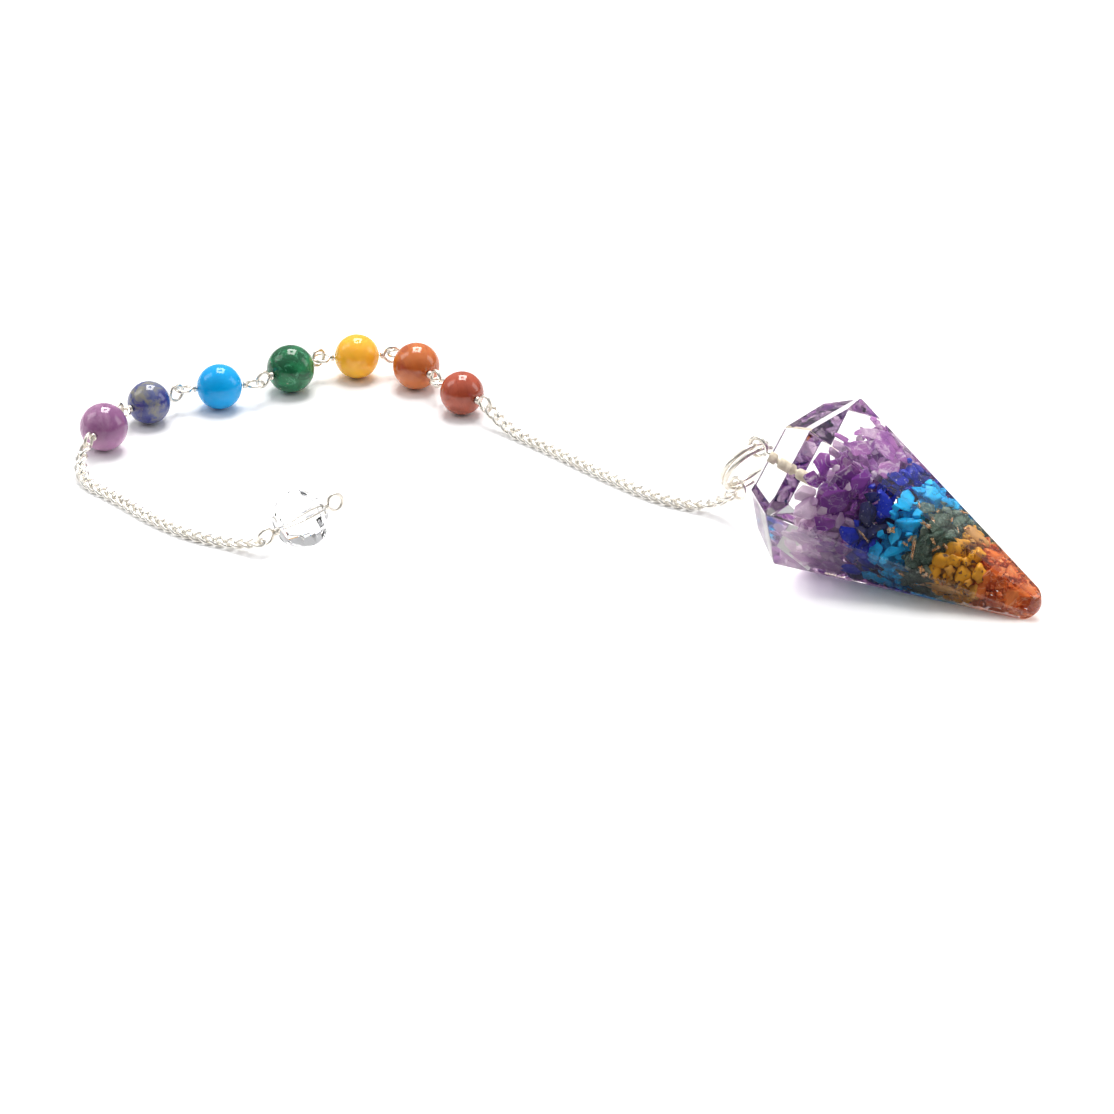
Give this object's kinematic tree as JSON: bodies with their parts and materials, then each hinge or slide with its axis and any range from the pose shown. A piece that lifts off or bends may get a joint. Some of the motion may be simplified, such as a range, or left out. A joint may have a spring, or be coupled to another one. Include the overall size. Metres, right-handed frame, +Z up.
{
  "type": "pendulum pendant",
  "caption": "Clear hexagonal resin point with layered stone chips, on a fine chain with round stone beads and a faceted crystal bead to hold it by.",
  "frame": {"origin": "middle of the whole part's bounding box, on the surface it lies on", "axes": "+X along the longest extent, from the beads towards the pendant; +Z up, the shortest extent"},
  "size_m": [0.1236, 0.0776, 0.0201],
  "materials": {
    "clear_resin": "clear cast resin, polished",
    "amethyst": "translucent, broken",
    "lapis": "opaque, broken",
    "turquoise": "opaque, tumbled",
    "aventurine": "translucent, broken",
    "citrine": "translucent, broken",
    "carnelian": "translucent, broken",
    "copper": "bright copper shavings",
    "glue": "beige glue",
    "silver_metal": "polished silver-coloured wire",
    "silver_chain": "polished silver-coloured curb chain",
    "red_stone": "polished opaque jasper",
    "orange_stone": "polished banded agate",
    "yellow_stone": "polished translucent agate",
    "green_stone": "polished mottled aventurine",
    "turquoise_stone": "polished plain blue stone",
    "blue_stone": "polished sodalite with grey veins",
    "violet_stone": "polished translucent amethyst",
    "clear_crystal": "cut clear crystal"
  },
  "bodies": {
    "root": {"resin_body": "clear_resin", "amethyst_chips": "amethyst", "lapis_chips": "lapis", "turquoise_chips": "turquoise", "aventurine_chips": "aventurine", "citrine_chips": "citrine", "carnelian_chips": "carnelian", "copper_flakes": "copper", "glue_plug": "glue", "screw_eye": "silver_metal", "split_ring": "silver_metal", "jump_ring": "silver_metal", "pendant_chain": "silver_chain", "red_bead": "red_stone", "orange_bead": "orange_stone", "yellow_bead": "yellow_stone", "green_bead": "green_stone", "turquoise_bead": "turquoise_stone", "blue_bead": "blue_stone", "violet_bead": "violet_stone", "red_pin": "silver_metal", "orange_pin": "silver_metal", "yellow_pin": "silver_metal", "green_pin": "silver_metal", "turquoise_pin": "silver_metal", "blue_pin": "silver_metal", "violet_pin": "silver_metal", "crystal_chain": "silver_chain", "crystal_bead": "clear_crystal", "crystal_pin": "silver_metal"}
  },
  "joints": []
}
